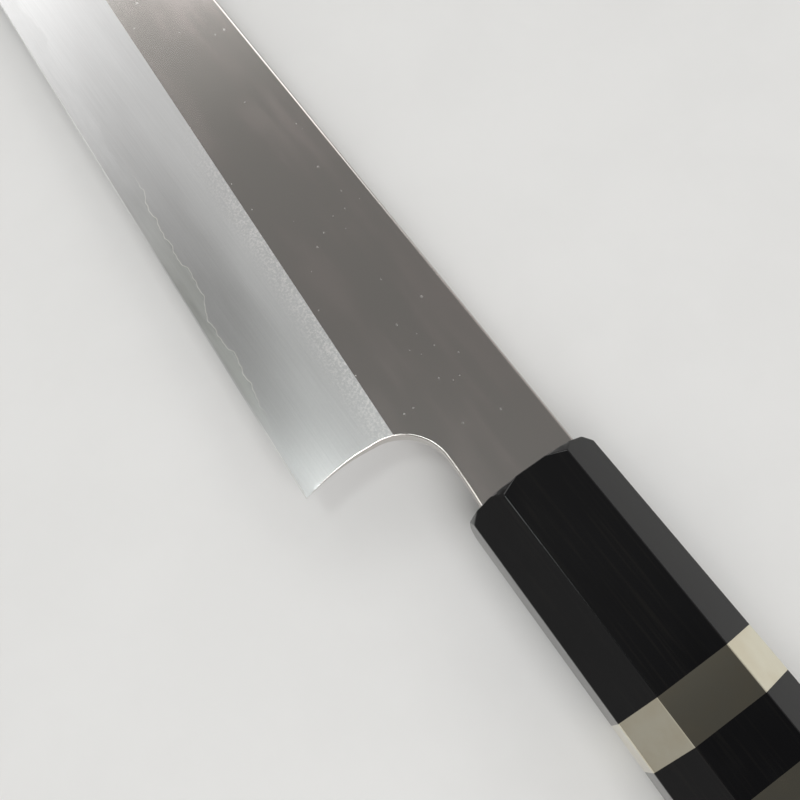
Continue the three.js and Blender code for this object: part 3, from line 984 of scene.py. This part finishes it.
def from_heel(tree):
    return maths(tree, "SUBTRACT", add(tree, "SeparateXYZ", {0: place(tree)}, "X"), heel_in_frame)


def stretch_of(tree, start, full, fading, gone):
    """One along a stretch of the blade, fading to nothing at both ends."""
    along = from_heel(tree)
    return times(tree, spread(tree, along, start, full), spread(tree, along, fading, gone, 1.0, 0.0))


def attribute(tree, label):
    return add(tree, "Attribute", {}, "Fac", attribute_name=label)


def near_ridge(tree, width, trace, gone):
    """One at the shinogi near the heel, falling to a trace below it and to nothing further along."""
    below = spread(tree, attribute(tree, "from_ridge"), 0.0, width, 1.0, trace)
    return times(tree, below, spread(tree, from_heel(tree), *gone, 1.0, 0.0))


print(f"the heel lies at {heel_in_frame:.1f} mm in the frame")

# %% [markdown]
# ## The hazy bevel
# The wide bevel is finished on soft stones: it scatters light in a broad haze with fine streaks along
# the blade. Near the shinogi it is rubbed rougher and has a sandy grain, both strongest at the heel;
# near the heel that grain is also painted brighter, a painted sheen. A thin bright line painted along
# the weld is a painted glint, where a small step would catch the light. Several materials side by side
# would show their borders, so one material fades from each of these looks to the next.

# %% Bevel
HAZE_TONES = (0.55, 0.55, 0.55, 1), (0.61, 0.61, 0.61, 1)
# the sandy grain near the heel is painted this bright: a real grain carrying a painted sheen
PAINTED_GRAIN_SHEEN = (0.785, 0.77, 0.76, 1)
# a bright colour painted along the weld: a painted glint of light on the step there
PAINTED_WELD_GLINT = (0.86, 0.86, 0.82, 1)
BEVEL_STREAKS = ((14, 0.14, 0.14), 3.0, 0.6)
BEVEL_CLOUDS = ((24, 6, 6), 2.0, 0.5)
BEVEL_STREAK_SHARE, BEVEL_RANGE = 0.6, (0.3, 0.7)
BEVEL_GRAIN, GRAIN_RANGE = ((0.42, 0.42, 0.42), 3.0, 0.65), (0.4, 0.68)
HAZY_ROUGH, RUBBED_ROUGH, ROUGH_CHANGE = 0.30, 0.44, 0.02
RUBBED_WIDTH, RUBBED_GONE = 15, (60, 150)  # below the shinogi, and from the heel
# the sandy grain and its painted sheen: width below the shinogi, trace further down, fading from the heel
SANDY_SHEEN_WIDTH, SANDY_SHEEN_TRACE, SANDY_SHEEN_GONE = 5, 0.06, (45, 80)
WELD_GLINT_WIDTH = (0.08, 0.26)
WELD_GLINT_SHOWN = (14, 24, 62, 72)  # from the heel: first trace, full, fading and gone
BEVEL_DEPTH, STREAK_HEIGHT = 0.01, 0.25

hazy_bevel, tree = new_finish("hazy_bevel")
streaks = noise(tree, *BEVEL_STREAKS)
grain = noise(tree, *BEVEL_GRAIN)
haze = two_patterns(tree, streaks, noise(tree, *BEVEL_CLOUDS), BEVEL_STREAK_SHARE)
rubbed = near_ridge(tree, RUBBED_WIDTH, 0.0, RUBBED_GONE)
sandy_grain_and_sheen = near_ridge(tree, SANDY_SHEEN_WIDTH, SANDY_SHEEN_TRACE, SANDY_SHEEN_GONE)
above_weld = times(tree, attribute(tree, "from_weld"), -1.0)
# the painted glint along the weld, shown only in a stretch near the heel
painted_weld_glint = times(tree, spread(tree, above_weld, *WELD_GLINT_WIDTH, 1.0, 0.0), stretch_of(tree, *WELD_GLINT_SHOWN))
colour = blend(tree, spread(tree, haze, *BEVEL_RANGE), *HAZE_TONES)
# the sandy grain painted brighter near the heel, a painted sheen
colour = blend(tree, times(tree, spread(tree, grain, *GRAIN_RANGE), sandy_grain_and_sheen), colour, PAINTED_GRAIN_SHEEN)
roughness = spread(tree, rubbed, 0.0, 1.0, HAZY_ROUGH, RUBBED_ROUGH)
unevenness = spread(tree, haze, *BEVEL_RANGE, -ROUGH_CHANGE, ROUGH_CHANGE)
height = plus(tree, times(tree, streaks, STREAK_HEIGHT), times(tree, grain, sandy_grain_and_sheen))
surface(tree, {
    "Base Color": blend(tree, painted_weld_glint, colour, PAINTED_WELD_GLINT),
    "Metallic": 1.0,
    "Roughness": plus(tree, roughness, unevenness),
    "Normal": bump(tree, height, BEVEL_DEPTH),
})
print("hazy bevel:", len(tree.nodes), "nodes")

# %% [markdown]
# ## Bare core and cutting edge
# Below the weld the hard core takes a streaked polish, and the edge bevel is honed brighter. Between 10
# and 75 mm from the heel both are painted darker, and the core slightly green: a painted reflection of
# the surroundings, strongest in the rear third of the blade. They could be two graphs, but both are
# streaked along the blade, so one function makes them with other tones and another gloss.

# %% Core and edge
CORE_REFLECTED_TONES = (0.495, 0.502, 0.485, 1), (0.555, 0.562, 0.543, 1)
HONED_TONES = (0.80, 0.80, 0.79, 1), (0.88, 0.88, 0.87, 1)
CORE_STREAKS = ((10, 0.1, 0.1), 4.0, 0.65)
CORE_CLOUDS = ((12, 1.5, 1.5), 3.0, 0.6)
CORE_STREAK_SHARE, CORE_RANGE, CORE_ROUGH_RANGE = 0.5, (0.35, 0.65), (0.3, 0.7)
CORE_GLOSS, EDGE_GLOSS = (0.3, 0.38), (0.5, 0.58)
# where core and edge are painted darker, the core greener, as a painted reflection
REFLECTION_SHOWN = (10, 24, 42, 75)
CORE_DEPTH = 0.006


def streaked_core(name, gloss, plain, reflected_tones):
    finish, tree = new_finish(name)
    streaks = noise(tree, *CORE_STREAKS)
    mix = two_patterns(tree, streaks, noise(tree, *CORE_CLOUDS), CORE_STREAK_SHARE)
    share = spread(tree, mix, *CORE_RANGE)
    # a painted reflection near the heel: darker tones, greenish on the core
    tint = stretch_of(tree, *REFLECTION_SHOWN)
    surface(tree, {
        "Base Color": blend(tree, tint, blend(tree, share, *plain), blend(tree, share, *reflected_tones)),
        "Metallic": 1.0,
        "Roughness": spread(tree, mix, *CORE_ROUGH_RANGE, *gloss),
        "Normal": bump(tree, streaks, CORE_DEPTH),
    })
    return finish


bare_core = streaked_core("bare_core", CORE_GLOSS, HAZE_TONES, CORE_REFLECTED_TONES)
honed_edge = streaked_core("honed_edge", EDGE_GLOSS, HONED_TONES, HAZE_TONES)
blade_finishes = [polished_flat, polished_rim, hazy_bevel, bare_core, honed_edge]  # as numbered above
for piece in (blade_core, blade_left, blade_right):
    for finish in blade_finishes:
        piece.data.materials.append(finish)
print("steel finishes:", ", ".join(finish.name for finish in blade_finishes))

# %% [markdown]
# ## Black horn
# Horn is almost black, with faint fibres along its length under a high polish. A clear coat over a
# matte base would look much the same; on so dark a colour one glossy layer is enough. Its gloss wanders
# a little, as on anything that is polished by hand, and fine hairlines run along the handle.

# %% Horn
HORN_DARK, HORN_FIBRE = (0.004, 0.004, 0.0045, 1), (0.008, 0.0075, 0.007, 1)
HORN_FIBRES, FIBRE_RANGE = ((18, 0.5, 0.5), 4.0, 0.6), (0.5, 0.75)
HORN_CLOUDS, HORN_CLOUD_RANGE, HORN_GLOSS = ((12, 6, 6), 3.0, 0.5), (0.35, 0.65), (0.1, 0.18)
HORN_HAIRS, HORN_HAIR_DEPTH = ((3, 0.1, 0.1), 2.0, 0.6), 0.0015
HORN_IOR = 1.4

polished_horn, tree = new_finish("polished_horn")
fibres = spread(tree, noise(tree, *HORN_FIBRES), *FIBRE_RANGE)
surface(tree, {
    "Base Color": blend(tree, fibres, HORN_DARK, HORN_FIBRE),
    "Roughness": spread(tree, noise(tree, *HORN_CLOUDS), *HORN_CLOUD_RANGE, *HORN_GLOSS),
    "IOR": HORN_IOR,
    "Normal": bump(tree, noise(tree, *HORN_HAIRS), HORN_HAIR_DEPTH),
})
for piece in (horn_ferrule, spacer):
    piece.data.materials.append(polished_horn)
    print(piece.name, "is", polished_horn.name)

# %% [markdown]
# ## Oiled ebony
# Ebony is dark brown to black, with fine open pores that run along the grain. They could be cut into
# the mesh, but they are only a few hundredths of a millimetre deep. The pores are darker, duller and
# lower than the wood around them, so one pattern drives the colour, the roughness and the bump.

# %% Ebony
EBONY_DARK, EBONY_VEIN = (0.006, 0.005, 0.0045, 1), (0.035, 0.023, 0.016, 1)
EBONY_VEINS, VEIN_RANGE = ((45, 1.4, 1.4), 4.0, 0.6), (0.48, 0.72)
EBONY_PORES, PORE_RANGE = ((2.4, 0.14, 0.14), 2.0, 0.5), (0.6, 0.7)
PORE_SHADE, PORE_COLOUR, PORE_DEPTH = 0.6, HORN_DARK, 0.02
EBONY_GLOSS, EBONY_IOR = (0.2, 0.45), 1.5

oiled_ebony, tree = new_finish("oiled_ebony")
veins = spread(tree, noise(tree, *EBONY_VEINS), *VEIN_RANGE)
pores = spread(tree, noise(tree, *EBONY_PORES), *PORE_RANGE)
wood = blend(tree, veins, EBONY_DARK, EBONY_VEIN)
surface(tree, {
    "Base Color": blend(tree, times(tree, pores, PORE_SHADE), wood, PORE_COLOUR),
    "Roughness": spread(tree, pores, 0.0, 1.0, *EBONY_GLOSS),
    "IOR": EBONY_IOR,
    "Normal": bump(tree, times(tree, pores, -1.0), PORE_DEPTH),
})
ebony_body.data.materials.append(oiled_ebony)
print(ebony_body.name, "is", oiled_ebony.name)

# %% [markdown]
# ## Ring metal
# The rings are nickel silver, a yellowish white metal, polished to a mirror. The polishing leaves
# hairlines around the handle. An anisotropic gloss would stretch the highlights alike, but close up it
# shows no lines. So the hairlines are a pattern, stretched across the knife and not along it.

# %% Rings of metal
NICKEL, NICKEL_WARM = (0.79, 0.755, 0.62, 1), (0.74, 0.685, 0.54, 1)
NICKEL_CLOUDS, NICKEL_RANGE = ((6, 6, 6), 3.0, 0.55), (0.35, 0.7)
NICKEL_ROUGH_RANGE, NICKEL_GLOSS = (0.3, 0.7), (0.05, 0.11)
NICKEL_HAIRS, NICKEL_HAIR_DEPTH = ((0.08, 6, 6), 2.0, 0.6), 0.0006

nickel_silver, tree = new_finish("nickel_silver")
clouds = noise(tree, *NICKEL_CLOUDS)
surface(tree, {
    "Base Color": blend(tree, spread(tree, clouds, *NICKEL_RANGE), NICKEL, NICKEL_WARM),
    "Metallic": 1.0,
    "Roughness": spread(tree, clouds, *NICKEL_ROUGH_RANGE, *NICKEL_GLOSS),
    "Normal": bump(tree, noise(tree, *NICKEL_HAIRS), NICKEL_HAIR_DEPTH),
})
for piece in (ring_front, ring_rear):
    piece.data.materials.append(nickel_silver)
    print(piece.name, "is", nickel_silver.name)

# %% [markdown]
# ## Inside the handle
# The seal in the ferrule's mouth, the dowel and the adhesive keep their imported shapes: only the seal
# can be seen, as a dark line round the neck. They get fitting finishes all the same, for whoever takes
# the handle apart. One pattern for colour, roughness and bump is enough for them, and later for the
# floor.

# %% Hidden pieces
GRAIN_COLOURS, GRAIN_ROUGHS = (0.35, 0.65), (0.3, 0.7)  # ranges of the pattern
RESIN_TONES = (0.008, 0.008, 0.008, 1), (0.03, 0.028, 0.025, 1)
RESIN_GRAIN, RESIN_GLOSS, RESIN_DEPTH = ((0.5, 0.5, 0.5), 4.0, 0.6), (0.4, 0.55), 0.02
DOWEL_TONES = (0.55, 0.40, 0.22, 1), (0.36, 0.23, 0.11, 1)
DOWEL_GRAIN, DOWEL_GLOSS, DOWEL_DEPTH = ((16, 0.5, 0.5), 4.0, 0.6), (0.55, 0.7), 0.03


def plain_grain(name, tones, pattern, gloss, depth):
    finish, tree = new_finish(name)
    grain = noise(tree, *pattern)
    surface(tree, {
        "Base Color": blend(tree, spread(tree, grain, *GRAIN_COLOURS), *tones),
        "Roughness": spread(tree, grain, *GRAIN_ROUGHS, *gloss),
        "Normal": bump(tree, grain, depth),
    })
    return finish


set_resin = plain_grain("set_resin", RESIN_TONES, RESIN_GRAIN, RESIN_GLOSS, RESIN_DEPTH)
dowel_wood = plain_grain("dowel_grain", DOWEL_TONES, DOWEL_GRAIN, DOWEL_GLOSS, DOWEL_DEPTH)
hidden = {"mouth_seal": set_resin, "tang_adhesive": set_resin, "handle_dowel": dowel_wood}
for node, finish in hidden.items():
    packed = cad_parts[node].data
    packed.materials.clear()
    packed.materials.append(finish)
    print(node, "keeps its packed shape")

# %% [markdown]
# ## The floor
# Laid down, the knife rests on two places: the lower front edge of its ferrule and its tip. It could be
# tilted until it lies on a level floor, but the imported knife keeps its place. So the floor leans by the
# same small angle instead and passes just below both.

# %% Floor
FLOOR_SIZE, FLOOR_GAP = 3000, 0.02
FLOOR_TONES = (0.80, 0.795, 0.785, 1), (0.785, 0.78, 0.77, 1)
FLOOR_GRAIN, FLOOR_GLOSS, FLOOR_DEPTH = ((25, 25, 25), 4.0, 0.6), (0.8, 0.95), 0.01
AT_TIP = 0.01
lowest = np.argmin(rim_outline[:, 1])
rest_x, rest_z = -rim_depth[lowest], rim_outline[lowest, 1]
tip_z = -float(outer_half[corner_x > TIP_X - AT_TIP].max())
slope = (tip_z - rest_z) / (TIP_X - rest_x)


def floor_z(x):
    return rest_z + slope * (x - rest_x) - FLOOR_GAP


ends = [(x * FLOOR_SIZE, y * FLOOR_SIZE) for x, y in ((-1, -1), (1, -1), (1, 1), (-1, 1))]
floor_mesh = bpy.data.meshes.new("floor")
floor_mesh.from_pydata([in_metres((x, y, floor_z(x))) for x, y in ends], [], [(0, 1, 2, 3)])
floor = bpy.data.objects.new("floor", floor_mesh)
bpy.context.scene.collection.objects.link(floor)
pale_floor = plain_grain("pale_floor", FLOOR_TONES, FLOOR_GRAIN, FLOOR_GLOSS, FLOOR_DEPTH)
floor_mesh.materials.append(pale_floor)
print(f"floor leans {math.degrees(math.atan(slope)):.2f} degrees")

# %% [markdown]
# ## Soft boxes
# Polished steel shows what is around it, so the light is built as surroundings, with places in metres
# from the frame's origin. Point lamps would be mirrored as hard dots, and soft boxes are mirrored as
# soft patches. Five of them face the knife: one beyond the tip, a weak card above it and one overhead
# light the bevel, one draws the bright line along the spine, and one fills in from behind the handle.

# %% Soft boxes
WHITE, COOL = (1, 1, 1), (0.95, 1.0, 0.985)
SOFT_BOXES = [  # name, place, size, power in watts and tint
    ("key", (1.0, 0.06, 0.55), (0.4, 0.4), 1.25, WHITE),
    ("card", (0.8, 0.15, 0.8), (0.25, 0.2), 0.09, WHITE),
    ("top", (0.12, 0.16, 0.95), (0.2, 0.2), 0.8, COOL),
    ("spine", (1.0, -0.66, 0.7), (0.9, 0.6), 3, WHITE),
    ("fill", (-0.9, 0.15, 1.07), (1.0, 1.0), 12, WHITE),
]
for name, spot, size, power, tint in SOFT_BOXES:
    lamp = bpy.data.lights.new(name, "AREA")
    lamp.shape = "RECTANGLE"
    lamp.size, lamp.size_y = size
    lamp.energy = power
    lamp.color = tint
    box = bpy.data.objects.new(name, lamp)
    spot = Vector(spot)
    box.matrix_world = Matrix.Translation(spot) @ spot.to_track_quat("Z", "Y").to_matrix().to_4x4()
    bpy.context.scene.collection.objects.link(box)
    print(f"soft box {name}: {power} W")

# %% [markdown]
# ## The sky
# The sky lights the rest: pale in a band above the horizon, darker overhead. A dark flag high over the
# handle keeps the horn black. A picture of a studio could be mapped on the world instead, but a ramp
# over the height of the view direction is enough, and it stays soft.

# %% Sky
SKY = [(0.0, 0.35), (0.5, 0.33), (0.75, 0.5), (0.83, 0.6), (0.885, 0.24), (0.95, 0.2), (1.0, 0.22)]
SKY_TINT = (1.0, 0.985, 0.96)
FLAG_AHEAD, FLAG_UP, FLAG_LEVEL = (-0.15, 0.2), (0.6, 0.85), 0.3

world = bpy.data.worlds.new("studio")
world.use_nodes = True
bpy.context.scene.world = world
sky = world.node_tree
sky.nodes.clear()
direction = add(sky, "TexCoord", {}, "Generated")
up = add(sky, "SeparateXYZ", {0: direction}, "Z")
ahead = add(sky, "SeparateXYZ", {0: direction}, "X")
sky_ramp = sky.nodes.new("ShaderNodeValToRGB")
stops = sky_ramp.color_ramp.elements
stops[0].position, stops[1].position = SKY[0][0], SKY[-1][0]
for position, _ in SKY[1:-1]:
    stops.new(position)
for stop, (_, level) in zip(stops, SKY):
    stop.color = (*(level * share for share in SKY_TINT), 1)
height = add(sky, "MapRange", {"Value": up, "From Min": -1.0, "From Max": 1.0})
sky.links.new(height, sky_ramp.inputs[0])
flag = times(sky, spread(sky, ahead, *FLAG_AHEAD, 1.0, 0.0), spread(sky, up, *FLAG_UP))
strength = spread(sky, flag, 0.0, 1.0, 1.0, FLAG_LEVEL)
light = add(sky, "Background", {"Color": sky_ramp.outputs[0], "Strength": strength})
world_output = sky.nodes.new("ShaderNodeOutputWorld")
sky.links.new(light, world_output.inputs["Surface"])
bpy.context.scene.view_settings.view_transform = "Standard"
print("sky of", len(stops), "levels with a dark flag")
